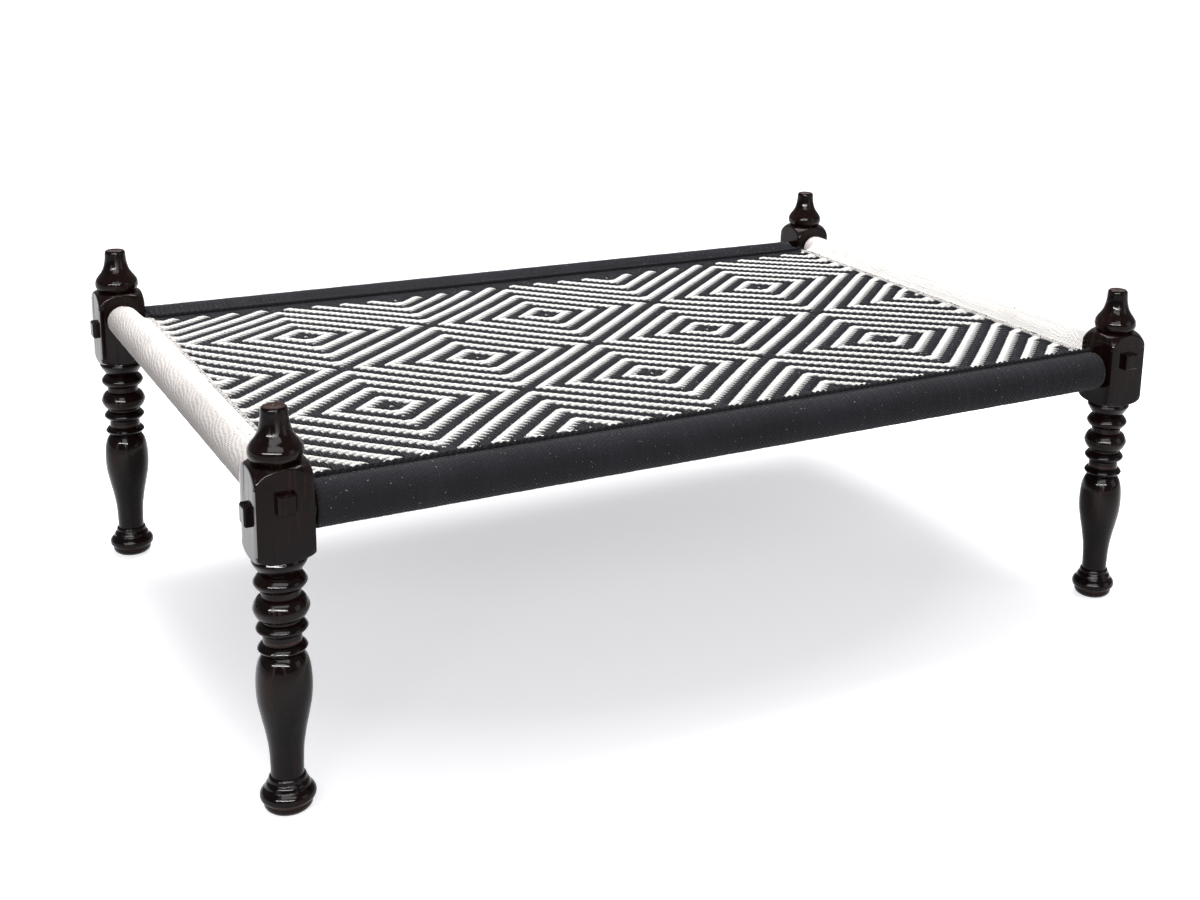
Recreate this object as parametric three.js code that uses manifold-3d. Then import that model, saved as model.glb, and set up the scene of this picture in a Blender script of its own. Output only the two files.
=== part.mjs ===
// A charpai: a low rope-strung bed or bench on four turned legs.
// Millimetres, +Z up. The origin is on the floor, midway between the four legs.
// +X runs along the long rails and +Y along the short ones.

import * as THREE from 'three';
import { mergeVertices } from 'three/addons/utils/BufferGeometryUtils.js';
import Module from 'manifold-3d';

// Driving dimensions of the frame, from leg axis to leg axis
const LEG_SPACING_LENGTH = 1180;
const LEG_SPACING_WIDTH = 790;

// Leg: one square blank, turned above and below a block that is left square
const BLANK_SIDE = 62;
const FOOT_HEIGHT = 47;
const VASE_HEIGHT = 136;
const RINGS_HEIGHT = 112;
const BLOCK_HEIGHT = 103;
const FINIAL_HEIGHT = 59;

// Through tenons: the short rails' lie above the long rails' and lock them
const TENON_WIDTH = 20;
const TENON_HEIGHT = 22;
const LONG_TENON_PROUD = 6.5;
const SHORT_TENON_PROUD = 8.5;
const TENON_CHAMFER = 1.8;
const LONG_TENON_RISE = 49;
const TENON_STEP = 17;

// Round rails and the cord wound round them, close turn beside turn
const LONG_RAIL_DIAMETER = 42;
const LONG_WRAP_THICKNESS = 4.5;
const SHORT_RAIL_DIAMETER = 35;
const SHORT_WRAP_THICKNESS = 4.5;
const WRAP_END_ROUNDING = 2;

// Woven sheet, strung between the four wrapped rails
const WEB_THICKNESS = 9;
const WEB_TOP_BELOW_LONG_WRAP = 8;
const WEB_SAG = 8;
const LONG_RAMP_WIDTH = 60;
const SHORT_RAMP_WIDTH = 90;
const WEB_CORNER_CLEARANCE = 1.5;

// Edge cords: a thick one along each long rail, a fine one along each short rail
const LONG_EDGE_CORD_DIAMETER = 7;
const FRONT_EDGE_CORD_INSET = 11;
const BACK_EDGE_CORD_INSET = 40;
const SHORT_EDGE_CORD_DIAMETER = 5;
const SHORT_EDGE_CORD_INSET = 34;
const EDGE_CORD_END_GAP = 0.8;

// Gap that is left between pieces that touch, and overrun of the cutting solids
const CONTACT_GAP = 0.3;
const CUT_OVERRUN = 20;

// Counts of facets
const LEG_SIDES = 24;
const RAIL_SIDES = 24;
const CORD_SIDES = 8;
const CORD_STEPS = 16;
const WEB_STEPS_LENGTH = 20;
const WEB_STEPS_WIDTH = 14;

// Places that follow from the dimensions
const HALF_LENGTH = LEG_SPACING_LENGTH / 2;
const HALF_WIDTH = LEG_SPACING_WIDTH / 2;
const HALF_BLANK = BLANK_SIDE / 2;
const VASE_Z = FOOT_HEIGHT;
const RINGS_Z = VASE_Z + VASE_HEIGHT;
const BLOCK_Z = RINGS_Z + RINGS_HEIGHT;
const FINIAL_Z = BLOCK_Z + BLOCK_HEIGHT;
const LEG_HEIGHT = FINIAL_Z + FINIAL_HEIGHT;
const LONG_RAIL_Z = BLOCK_Z + LONG_TENON_RISE;
const SHORT_RAIL_Z = LONG_RAIL_Z + TENON_STEP;
const LONG_WRAP_BORE = LONG_RAIL_DIAMETER / 2 + CONTACT_GAP;
const LONG_WRAP_RADIUS = LONG_RAIL_DIAMETER / 2 + LONG_WRAP_THICKNESS;
const SHORT_WRAP_BORE = SHORT_RAIL_DIAMETER / 2 + CONTACT_GAP;
const SHORT_WRAP_RADIUS = SHORT_RAIL_DIAMETER / 2 + SHORT_WRAP_THICKNESS;
const WEB_EDGE_Z = LONG_RAIL_Z + LONG_WRAP_RADIUS - WEB_TOP_BELOW_LONG_WRAP;

// Leg outline from the foot up. In each pair the first number is a share of half the
// blank's side, and the second a share of the height of the section that is named.
const FOOT_OUTLINE_SHARES = [
  [0.68, 0], [0.82, 0.1], [0.85, 0.21], [0.95, 0.31], [0.95, 0.45],
  [0.785, 0.57], [0.735, 0.67], [0.61, 0.76], [0.565, 0.88],
];
const VASE_OUTLINE_SHARES = [
  [0.57, 0.05], [0.605, 0.19], [0.695, 0.33], [0.83, 0.48], [0.93, 0.61],
  [0.96, 0.74], [0.92, 0.87], [0.83, 0.95], [0.7, 1],
];
// Each ring has a centre, half a thickness and a radius; the grooves share one radius
const RING_SHARES = [
  [0.065, 0.05, 0.835], [0.268, 0.06, 0.87], [0.473, 0.115, 0.955], [0.735, 0.08, 0.905],
];
const RING_GROOVE_SHARE = 0.69;
const COLLAR_OUTLINE_SHARES = [[0.69, 0.825], [0.8, 0.875], [0.93, 0.945], [0.9, 0.99]];
// Past the blank's corners, at 1.42, the outline is cut away by the flat faces
const BLOCK_OUTLINE_SHARES = [
  [0.93, 0], [1.2, 0.02], [1.38, 0.06], [1.44, 0.11], [1.44, 0.79], [1.36, 0.87],
  [1.2, 0.94], [1.02, 0.985], [0.9, 1],
];
const FINIAL_OUTLINE_SHARES = [
  [0.81, 0.02], [0.89, 0.08], [0.925, 0.16], [0.88, 0.27], [0.7, 0.42],
  [0.55, 0.56], [0.475, 0.72], [0.435, 0.95], [0.37, 1], [0.07, 1], [0, 0.97],
];
// The half turn of a ring's round edge is drawn with these shares of its radius and height
const RING_EDGE_SHARES = [[0, -1], [0.8, -0.6], [0.8, 0.6], [0, 1]];

const wasm = await Module();
wasm.setup();

// Materials
const lacqueredWood = new THREE.MeshStandardMaterial({ color: 0x1c1110, roughness: 0.25, metalness: 0 });
const blackCord = new THREE.MeshStandardMaterial({ color: 0x191a1e, roughness: 0.95, metalness: 0 });
const whiteCord = new THREE.MeshStandardMaterial({ color: 0xe9e4da, roughness: 0.95, metalness: 0 });
const wovenCord = new THREE.MeshStandardMaterial({ color: 0x8d8b88, roughness: 0.95, metalness: 0 });

// A three.js geometry as a closed solid, without the triangles that merging left flat
function toSolid(geometry) {
  const bare = geometry.index ? geometry.clone() : mergeVertices(geometry);
  bare.deleteAttribute('normal');
  bare.deleteAttribute('uv');
  const merged = mergeVertices(bare);
  const corners = merged.index.array;
  const kept = [];
  for (let i = 0; i < corners.length; i += 3) {
    const [a, b, c] = corners.slice(i, i + 3);
    if (a !== b && b !== c && c !== a) kept.push(a, b, c);
  }
  return new wasm.Manifold(new wasm.Mesh({
    numProp: 3,
    vertProperties: new Float32Array(merged.attributes.position.array),
    triVerts: new Uint32Array(kept),
  }));
}

// A closed solid as a three.js geometry
function toGeometry(solid) {
  const mesh = solid.getMesh();
  const geometry = new THREE.BufferGeometry();
  geometry.setAttribute('position', new THREE.BufferAttribute(mesh.vertProperties, 3));
  geometry.setIndex(new THREE.BufferAttribute(mesh.triVerts, 1));
  geometry.computeVertexNormals();
  return geometry;
}

function boxSolid(length, width, height, x, y, z) {
  return toSolid(new THREE.BoxGeometry(length, width, height).translate(x, y, z));
}

// A solid of revolution about Z, from an outline of [radius, z] pairs
function latheSolid(outline, sides) {
  const points = outline.map(([radius, z]) => new THREE.Vector2(radius, z));
  return toSolid(new THREE.LatheGeometry(points, sides).rotateX(Math.PI / 2));
}

// The same, turned to lie along X or Y with its middle at z
function lyingSolid(outline, sides, axis, y, z) {
  const points = outline.map(([radius, along]) => new THREE.Vector2(radius, along));
  const geometry = new THREE.LatheGeometry(points, sides);
  if (axis === 'x') geometry.rotateZ(-Math.PI / 2).translate(0, y, z);
  else geometry.translate(y, 0, z);
  return toSolid(geometry);
}

// Outline of a plain round bar of the given half length
function barOutline(radius, half) {
  return [[0, -half], [radius, -half], [radius, half], [0, half]];
}

// The leg's whole outline, as [radius, z] pairs
function legOutline() {
  const placed = (shares, base, height) =>
    shares.map(([radius, rise]) => [radius * HALF_BLANK, base + rise * height]);
  const groove = RING_GROOVE_SHARE * HALF_BLANK;
  const rings = RING_SHARES.flatMap(([centre, half, radius]) =>
    RING_EDGE_SHARES.map(([out, up]) => [
      groove + out * (radius * HALF_BLANK - groove),
      RINGS_Z + (centre + up * half) * RINGS_HEIGHT,
    ]));
  return [
    [0, 0],
    ...placed(FOOT_OUTLINE_SHARES, 0, FOOT_HEIGHT),
    ...placed(VASE_OUTLINE_SHARES, VASE_Z, VASE_HEIGHT),
    ...rings,
    ...placed(COLLAR_OUTLINE_SHARES, RINGS_Z, RINGS_HEIGHT),
    ...placed(BLOCK_OUTLINE_SHARES, BLOCK_Z, BLOCK_HEIGHT),
    ...placed(FINIAL_OUTLINE_SHARES, FINIAL_Z, FINIAL_HEIGHT),
  ];
}

// A leg about its own axis: the turned outline within the square blank, with two mortises
function legSolid() {
  const turned = latheSolid(legOutline(), LEG_SIDES);
  const blank = boxSolid(
    BLANK_SIDE, BLANK_SIDE, LEG_HEIGHT + CUT_OVERRUN, 0, 0, LEG_HEIGHT / 2);
  const through = BLANK_SIDE + CUT_OVERRUN;
  const wide = TENON_WIDTH + 2 * CONTACT_GAP;
  const high = TENON_HEIGHT + 2 * CONTACT_GAP;
  return turned
    .intersect(blank)
    .subtract(boxSolid(through, wide, high, 0, 0, LONG_RAIL_Z))
    .subtract(boxSolid(wide, through, high, 0, 0, SHORT_RAIL_Z));
}

// A square bar with chamfered ends, centred on the origin and running along X
function tenonBar(length) {
  const section = new THREE.Shape();
  section.moveTo(-TENON_HEIGHT / 2, -TENON_WIDTH / 2);
  section.lineTo(TENON_HEIGHT / 2, -TENON_WIDTH / 2);
  section.lineTo(TENON_HEIGHT / 2, TENON_WIDTH / 2);
  section.lineTo(-TENON_HEIGHT / 2, TENON_WIDTH / 2);
  section.closePath();
  const bar = new THREE.ExtrudeGeometry(section, {
    depth: length - 2 * TENON_CHAMFER,
    steps: 1,
    bevelEnabled: true,
    bevelThickness: TENON_CHAMFER,
    bevelSize: TENON_CHAMFER,
    bevelOffset: -TENON_CHAMFER,
    bevelSegments: 1,
  });
  return bar.translate(0, 0, TENON_CHAMFER - length / 2).rotateY(Math.PI / 2);
}

// A long rail with its tenons, notched on top where the short rails' tenons cross them
function longRailSolid(y) {
  const core = lyingSolid(
    barOutline(LONG_RAIL_DIAMETER / 2, HALF_LENGTH - HALF_BLANK - CONTACT_GAP),
    RAIL_SIDES, 'x', y, LONG_RAIL_Z);
  const bar = tenonBar(LEG_SPACING_LENGTH + BLANK_SIDE + 2 * LONG_TENON_PROUD);
  let rail = core.add(toSolid(bar.translate(0, y, LONG_RAIL_Z)));
  const notch = TENON_WIDTH + 2 * CONTACT_GAP;
  for (const end of [-1, 1]) {
    rail = rail.subtract(boxSolid(
      notch, TENON_WIDTH + CUT_OVERRUN, TENON_HEIGHT + 2 * CONTACT_GAP,
      end * HALF_LENGTH, y, SHORT_RAIL_Z));
  }
  return rail;
}

function shortRailSolid(x) {
  const core = lyingSolid(
    barOutline(SHORT_RAIL_DIAMETER / 2, HALF_WIDTH - HALF_BLANK - CONTACT_GAP),
    RAIL_SIDES, 'y', x, SHORT_RAIL_Z);
  const bar = tenonBar(LEG_SPACING_WIDTH + BLANK_SIDE + 2 * SHORT_TENON_PROUD).rotateZ(Math.PI / 2);
  return core.add(toSolid(bar.translate(x, 0, SHORT_RAIL_Z)));
}

// Outline of a wrap: a sleeve with rounded ends, closed on itself
function wrapOutline(bore, radius, half) {
  const shoulder = radius - WRAP_END_ROUNDING;
  const straight = half - WRAP_END_ROUNDING;
  return [
    [bore, -half], [shoulder, -half], [radius, -straight],
    [radius, straight], [shoulder, half], [bore, half], [bore, -half],
  ];
}

function longWrapSolid(y) {
  const half = HALF_LENGTH - HALF_BLANK - CONTACT_GAP;
  return lyingSolid(
    wrapOutline(LONG_WRAP_BORE, LONG_WRAP_RADIUS, half), RAIL_SIDES, 'x', y, LONG_RAIL_Z);
}

function shortWrapSolid(x) {
  const half = HALF_WIDTH - HALF_BLANK - CONTACT_GAP;
  return lyingSolid(
    wrapOutline(SHORT_WRAP_BORE, SHORT_WRAP_RADIUS, half), RAIL_SIDES, 'y', x, SHORT_RAIL_Z);
}

// Height of the sheet's top: it hangs in the middle and climbs on to the rails
function webTop(x, y) {
  const fromShort = HALF_LENGTH - Math.abs(x);
  const fromLong = HALF_WIDTH - Math.abs(y);
  const hang = Math.cos((x / LEG_SPACING_LENGTH) * Math.PI) * Math.cos((y / LEG_SPACING_WIDTH) * Math.PI);
  const nearness = (distance, reach) => Math.max(0, 1 - distance / reach) ** 2;
  const overShort = SHORT_RAIL_Z + SHORT_WRAP_RADIUS - WEB_EDGE_Z;
  const toShort = overShort * nearness(fromShort, SHORT_RAMP_WIDTH);
  const toLong = WEB_TOP_BELOW_LONG_WRAP * nearness(fromLong, LONG_RAMP_WIDTH);
  const climb = toLong + toShort * Math.min(1, fromLong / LONG_RAMP_WIDTH);
  return WEB_EDGE_Z - WEB_SAG * hang + climb;
}

// A tube with flat ends through the given places
function cordGeometry(diameter, places) {
  const circle = new THREE.EllipseCurve(0, 0, diameter / 2, diameter / 2);
  const section = new THREE.Shape(circle.getPoints(CORD_SIDES).slice(0, -1));
  return new THREE.ExtrudeGeometry(section, {
    steps: CORD_STEPS,
    bevelEnabled: false,
    extrudePath: new THREE.CatmullRomCurve3(places),
  });
}

// Evenly spaced places between two ends, each lifted clear of the sheet's top
function placesOnWeb(diameter, place) {
  return Array.from({ length: CORD_STEPS + 1 }, (unused, step) => {
    const [x, y] = place(2 * (step / CORD_STEPS) - 1);
    return new THREE.Vector3(x, y, webTop(x, y) + diameter / 2 + CONTACT_GAP);
  });
}

// The thick cord lies against the front long wrap, and on the sheet alone at the back
function longEdgeCord(side, allowance = 0) {
  const reach = LONG_EDGE_CORD_DIAMETER / 2 + CONTACT_GAP;
  const inset = side < 0 ? FRONT_EDGE_CORD_INSET : BACK_EDGE_CORD_INSET;
  const y = side * (HALF_WIDTH - inset);
  const half = HALF_LENGTH - HALF_BLANK - EDGE_CORD_END_GAP;
  const overWrap = Math.max(0, (LONG_WRAP_RADIUS + reach) ** 2 - inset ** 2);
  const lowest = LONG_RAIL_Z + Math.sqrt(overWrap);
  const places = placesOnWeb(LONG_EDGE_CORD_DIAMETER, (share) => [share * half, y]);
  places.forEach((place) => place.setZ(Math.max(place.z, lowest)));
  return cordGeometry(LONG_EDGE_CORD_DIAMETER + 2 * allowance, places);
}

// The fine cord crosses the sheet where the pattern begins, between the two thick ones
function shortEdgeCord(side, allowance = 0) {
  const x = side * (HALF_LENGTH - SHORT_EDGE_CORD_INSET);
  const front = FRONT_EDGE_CORD_INSET + LONG_EDGE_CORD_DIAMETER - HALF_WIDTH;
  const back = HALF_WIDTH - BACK_EDGE_CORD_INSET - LONG_EDGE_CORD_DIAMETER;
  const middle = (front + back) / 2;
  const half = (back - front) / 2;
  return cordGeometry(
    SHORT_EDGE_CORD_DIAMETER + 2 * allowance,
    placesOnWeb(SHORT_EDGE_CORD_DIAMETER, (share) => [x, middle + share * half]));
}

// An even spacing from -half to half, made closer towards both edges
function closerAtEdges(place, half) {
  return half * Math.sin((place / half) * (Math.PI / 2));
}

// The sheet as a slab under that surface, cut clear of the wraps, cords and legs' blocks
function webSolid() {
  const slab = new THREE.BoxGeometry(
    LEG_SPACING_LENGTH, LEG_SPACING_WIDTH, WEB_THICKNESS, WEB_STEPS_LENGTH, WEB_STEPS_WIDTH, 1);
  const corner = slab.attributes.position;
  for (let i = 0; i < corner.count; i += 1) {
    const below = corner.getZ(i) < 0 ? WEB_THICKNESS : 0;
    const x = closerAtEdges(corner.getX(i), HALF_LENGTH);
    const y = closerAtEdges(corner.getY(i), HALF_WIDTH);
    corner.setXYZ(i, x, y, webTop(x, y) - below);
  }
  let sheet = toSolid(slab);
  const long = barOutline(LONG_WRAP_RADIUS + CONTACT_GAP, HALF_LENGTH + CUT_OVERRUN);
  const short = barOutline(SHORT_WRAP_RADIUS + CONTACT_GAP, HALF_WIDTH + CUT_OVERRUN);
  const hole = BLANK_SIDE + 2 * WEB_CORNER_CLEARANCE;
  for (const side of [-1, 1]) {
    const outside = CUT_OVERRUN + BLANK_SIDE;
    sheet = sheet
      .subtract(lyingSolid(long, RAIL_SIDES, 'x', side * HALF_WIDTH, LONG_RAIL_Z))
      .subtract(lyingSolid(short, RAIL_SIDES, 'y', side * HALF_LENGTH, SHORT_RAIL_Z))
      .subtract(boxSolid(
        LEG_SPACING_LENGTH + outside, outside, LEG_HEIGHT,
        0, side * (HALF_WIDTH + outside / 2), WEB_EDGE_Z))
      .subtract(boxSolid(
        outside, LEG_SPACING_WIDTH + outside, LEG_HEIGHT,
        side * (HALF_LENGTH + outside / 2), 0, WEB_EDGE_Z))
      .subtract(toSolid(longEdgeCord(side, CONTACT_GAP)))
      .subtract(toSolid(shortEdgeCord(side, CONTACT_GAP)));
    for (const end of [-1, 1]) {
      sheet = sheet.subtract(boxSolid(
        hole, hole, BLOCK_HEIGHT, end * HALF_LENGTH, side * HALF_WIDTH, BLOCK_Z + BLOCK_HEIGHT / 2));
    }
  }
  return sheet;
}

const charpai = new THREE.Group();

function addPiece(name, geometry, material, x = 0, y = 0) {
  const mesh = new THREE.Mesh(geometry, material.clone());
  mesh.name = name;
  mesh.position.set(x, y, 0);
  charpai.add(mesh);
}

const ends = [['left', -1], ['right', 1]];
const sides = [['front', -1], ['back', 1]];

for (const [sideName, side] of sides) {
  for (const [endName, end] of ends) {
    addPiece(
      `leg_${sideName}_${endName}`, toGeometry(legSolid()), lacqueredWood,
      end * HALF_LENGTH, side * HALF_WIDTH);
  }
  addPiece(`rail_${sideName}`, toGeometry(longRailSolid(side * HALF_WIDTH)), lacqueredWood);
  addPiece(`wrap_${sideName}`, toGeometry(longWrapSolid(side * HALF_WIDTH)), blackCord);
  addPiece(`edge_cord_${sideName}`, longEdgeCord(side), blackCord);
}
for (const [endName, end] of ends) {
  addPiece(`rail_${endName}`, toGeometry(shortRailSolid(end * HALF_LENGTH)), lacqueredWood);
  addPiece(`wrap_${endName}`, toGeometry(shortWrapSolid(end * HALF_LENGTH)), whiteCord);
  addPiece(`edge_cord_${endName}`, shortEdgeCord(end), whiteCord);
}
addPiece('woven_web', toGeometry(webSolid()), wovenCord);

export default charpai;
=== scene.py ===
"""Looks of the charpai: four turned legs, wound rails and a woven rope sheet.

Lengths are written in millimetres and turned into metres where a mesh is made.
The camera, the lamps, the floor and the sizes inside materials are in metres.
+X runs along the long rails, +Y along the short ones, +Z up, the floor is at 0.
"""
import math

import bmesh
import bpy
import numpy as np
from mathutils import Matrix, Vector


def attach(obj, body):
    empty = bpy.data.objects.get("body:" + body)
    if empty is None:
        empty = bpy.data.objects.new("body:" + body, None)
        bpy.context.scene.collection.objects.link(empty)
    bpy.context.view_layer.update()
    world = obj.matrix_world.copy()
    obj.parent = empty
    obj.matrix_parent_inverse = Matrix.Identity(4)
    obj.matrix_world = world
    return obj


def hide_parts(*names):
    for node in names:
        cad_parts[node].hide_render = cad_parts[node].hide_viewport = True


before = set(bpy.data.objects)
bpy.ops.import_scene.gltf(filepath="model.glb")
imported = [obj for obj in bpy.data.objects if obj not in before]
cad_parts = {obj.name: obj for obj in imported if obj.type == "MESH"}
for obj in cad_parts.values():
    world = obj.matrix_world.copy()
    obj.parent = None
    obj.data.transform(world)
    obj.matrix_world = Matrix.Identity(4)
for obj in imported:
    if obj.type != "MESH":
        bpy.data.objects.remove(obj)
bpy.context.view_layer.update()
scene = bpy.context.scene
MM = 0.001
SIDES = (("front", -1), ("back", 1))
ENDS = (("left", -1), ("right", 1))

# The frame, as the solids have it
HALF_LENGTH, HALF_WIDTH = 590.0, 395.0
HALF_BLANK = 31.0
FOOT, VASE, RINGS, BLOCK, FINIAL = 47.0, 136.0, 112.0, 103.0, 59.0
LONG_Z, LONG_R = 344.0, 25.5
SHORT_Z, SHORT_R = 361.0, 22.0
EDGE_DROP = 8.0
WEB_EDGE_Z = LONG_Z + LONG_R - EDGE_DROP
WEB_SAG = 8.0
REACH_LONG, REACH_SHORT = 60.0, 55.0

# The camera, fitted to the photograph, with its turns in degrees
CAMERA_PLACE = (-1.0269, -1.9932, 0.9884)
CAMERA_YAW, CAMERA_PITCH, CAMERA_ROLL = 32.434, 13.505, 1.944
SENSOR_WIDTH, LENS = 36, 48.81
SHIFT_X, SHIFT_Y = -0.13, -0.1435


def place_camera():
    """The camera stands where the photograph's lines of sight meet."""
    yaw, pitch, roll = (math.radians(a) for a in (CAMERA_YAW, CAMERA_PITCH, CAMERA_ROLL))
    forward = Vector((math.sin(yaw) * math.cos(pitch), math.cos(yaw) * math.cos(pitch), -math.sin(pitch)))
    level = Vector((math.cos(yaw), -math.sin(yaw), 0))
    above = level.cross(forward)
    right = math.cos(roll) * level + math.sin(roll) * above
    top = -math.sin(roll) * level + math.cos(roll) * above
    camera = bpy.data.objects.new("camera", bpy.data.cameras.new("camera"))
    scene.collection.objects.link(camera)
    turn = Matrix((right, top, -forward)).transposed().to_4x4()
    camera.matrix_world = Matrix.Translation(CAMERA_PLACE) @ turn
    camera.data.sensor_width = SENSOR_WIDTH
    camera.data.lens = LENS
    camera.data.shift_x, camera.data.shift_y = SHIFT_X, SHIFT_Y
    scene.camera = camera


place_camera()


# Where a mix of colours has its sockets
MIX_SHARE, MIX_A, MIX_B, MIX_RESULT = 0, 6, 7, 2


def material(name):
    m = bpy.data.materials.new(name)
    m.use_nodes = True
    nt = m.node_tree
    return m, nt, nt.nodes["Principled BSDF"]


def node(nt, kind, **settings):
    """A new node, with each setting put in its socket of that name or, if it has none, on the node."""
    n = nt.nodes.new(kind)
    for key, value in settings.items():
        if key in n.inputs.keys():
            n.inputs[key].default_value = value
        else:
            setattr(n, key, value)
    return n


def feed(nt, socket, value):
    """Links another node's output to the socket, or sets the socket to a number or a colour."""
    if isinstance(value, bpy.types.NodeSocket):
        nt.links.new(value, socket)
    elif isinstance(value, (int, float)):
        socket.default_value = value
    else:
        socket.default_value = (*value, 1)


def ramp(nt, source, stops):
    r = nt.nodes.new("ShaderNodeValToRGB")
    elements = r.color_ramp.elements
    while len(elements) > 1:
        elements.remove(elements[0])
    for k, (place, colour) in enumerate(stops):
        stop = elements[0] if k == 0 else elements.new(place)
        stop.position = place
        stop.color = (*colour, 1)
    nt.links.new(source, r.inputs[0])
    return r.outputs[0]


def grey(value):
    return (value, value, value)


def noise(nt, vector, scale, detail=3.0, rough=0.5):
    n = node(nt, "ShaderNodeTexNoise", Scale=scale, Detail=detail, Roughness=rough)
    nt.links.new(vector, n.inputs["Vector"])
    return n.outputs["Fac"]


def mix(nt, share, a, b):
    """Colour a where share is 0 and colour b where it is 1."""
    m = nt.nodes.new("ShaderNodeMix")
    m.data_type = "RGBA"
    for socket, value in ((MIX_SHARE, share), (MIX_A, a), (MIX_B, b)):
        feed(nt, m.inputs[socket], value)
    return m.outputs[MIX_RESULT]


def math_node(nt, operation, a, b=0.0, clamp=False):
    m = nt.nodes.new("ShaderNodeMath")
    m.operation = operation
    m.use_clamp = clamp
    feed(nt, m.inputs[0], a)
    feed(nt, m.inputs[1], b)
    return m.outputs[0]


def band(nt, value, centre, half):
    """1 within half of centre, falling to 0 at twice that distance."""
    away = math_node(nt, "ABSOLUTE", math_node(nt, "SUBTRACT", value, centre))
    return math_node(nt, "SUBTRACT", 2.0, math_node(nt, "DIVIDE", away, half), clamp=True)


def bump(nt, bsdf, height, strength, distance):
    b = node(nt, "ShaderNodeBump", Strength=strength, Distance=distance)
    nt.links.new(height, b.inputs["Height"])
    nt.links.new(b.outputs[0], bsdf.inputs["Normal"])


# The lacquer: scales of its noises, its stops, and its wear as (height, half width, how strong)
GRAIN_STRETCH = (1, 1, 0.06)
GRAIN_SCALE, CLOUD_SCALE, WEAR_SCALE = 160, 14, 60
GRAIN_STOPS = ((0.3, (0.0018, 0.0013, 0.0022)), (0.55, (0.0056, 0.0026, 0.0026)),
               (0.8, (0.0300, 0.0115, 0.0070)))
CLOUD_STOPS = ((0.35, (0.0018, 0.0015, 0.0027)), (0.65, (0.0230, 0.0076, 0.0048)))
CLOUD_SHARE = 0.45
GLOSS_STOPS = ((0.35, grey(0.06)), (0.55, grey(0.11)), (0.66, grey(0.42)))
WEAR_LINES = ((0.0112, 0.0005, 0.8), (0.1995, 0.0007, 0.7), (0.2937, 0.0006, 0.35),
              (0.2235, 0.0006, 0.3), (0.4575, 0.0006, 0.35))
WEAR_GAIN = 1.6
WORN_WOOD = (0.13, 0.047, 0.022)


def lacquer():
    """Espresso gloss on turned wood, worn through on the sharpest edges."""
    m, nt, bsdf = material("lacquered_wood")
    place = node(nt, "ShaderNodeTexCoord").outputs["Object"]
    stretch = node(nt, "ShaderNodeMapping")
    stretch.inputs["Scale"].default_value = GRAIN_STRETCH
    nt.links.new(place, stretch.inputs[0])
    grain = noise(nt, stretch.outputs[0], GRAIN_SCALE, detail=5, rough=0.65)
    cloud = noise(nt, place, CLOUD_SCALE)
    body = mix(nt, CLOUD_SHARE, ramp(nt, grain, GRAIN_STOPS), ramp(nt, cloud, CLOUD_STOPS))
    split = node(nt, "ShaderNodeSeparateXYZ")
    nt.links.new(place, split.inputs[0])
    height = split.outputs[2]
    lines = [math_node(nt, "MULTIPLY", band(nt, height, centre, half), strength)
             for centre, half, strength in WEAR_LINES]
    worn = lines[0]
    for line in lines[1:]:
        worn = math_node(nt, "MAXIMUM", worn, line)
    patch = math_node(nt, "MULTIPLY", noise(nt, place, WEAR_SCALE, detail=2), WEAR_GAIN)
    worn = math_node(nt, "MULTIPLY", worn, patch, clamp=True)
    nt.links.new(mix(nt, worn, body, WORN_WOOD), bsdf.inputs["Base Color"])
    nt.links.new(ramp(nt, grain, GLOSS_STOPS), bsdf.inputs["Roughness"])
    bsdf.inputs["Specular IOR Level"].default_value = 0.115
    bump(nt, bsdf, grain, strength=0.05, distance=0.0004)
    return m


# The cords: scales of their noises, how these mix, and where a speck begins and is full
FUZZ_SCALE, STAIN_SCALE, SPECK_SCALE = 900, 11, 360
FUZZ_SHARE, STAIN_SHARE = 0.6, 0.4
DARK_STOP, MID_STOP, LIGHT_STOP = 0.32, 0.5, 0.68
# How far painted shade darkens the furrows of the lay
FURROW_SHADE_SHARE = 0.25
FUZZ_HEIGHT = 0.8
SPECK_START, SPECK_FULL = 0.735, 0.77


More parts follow.
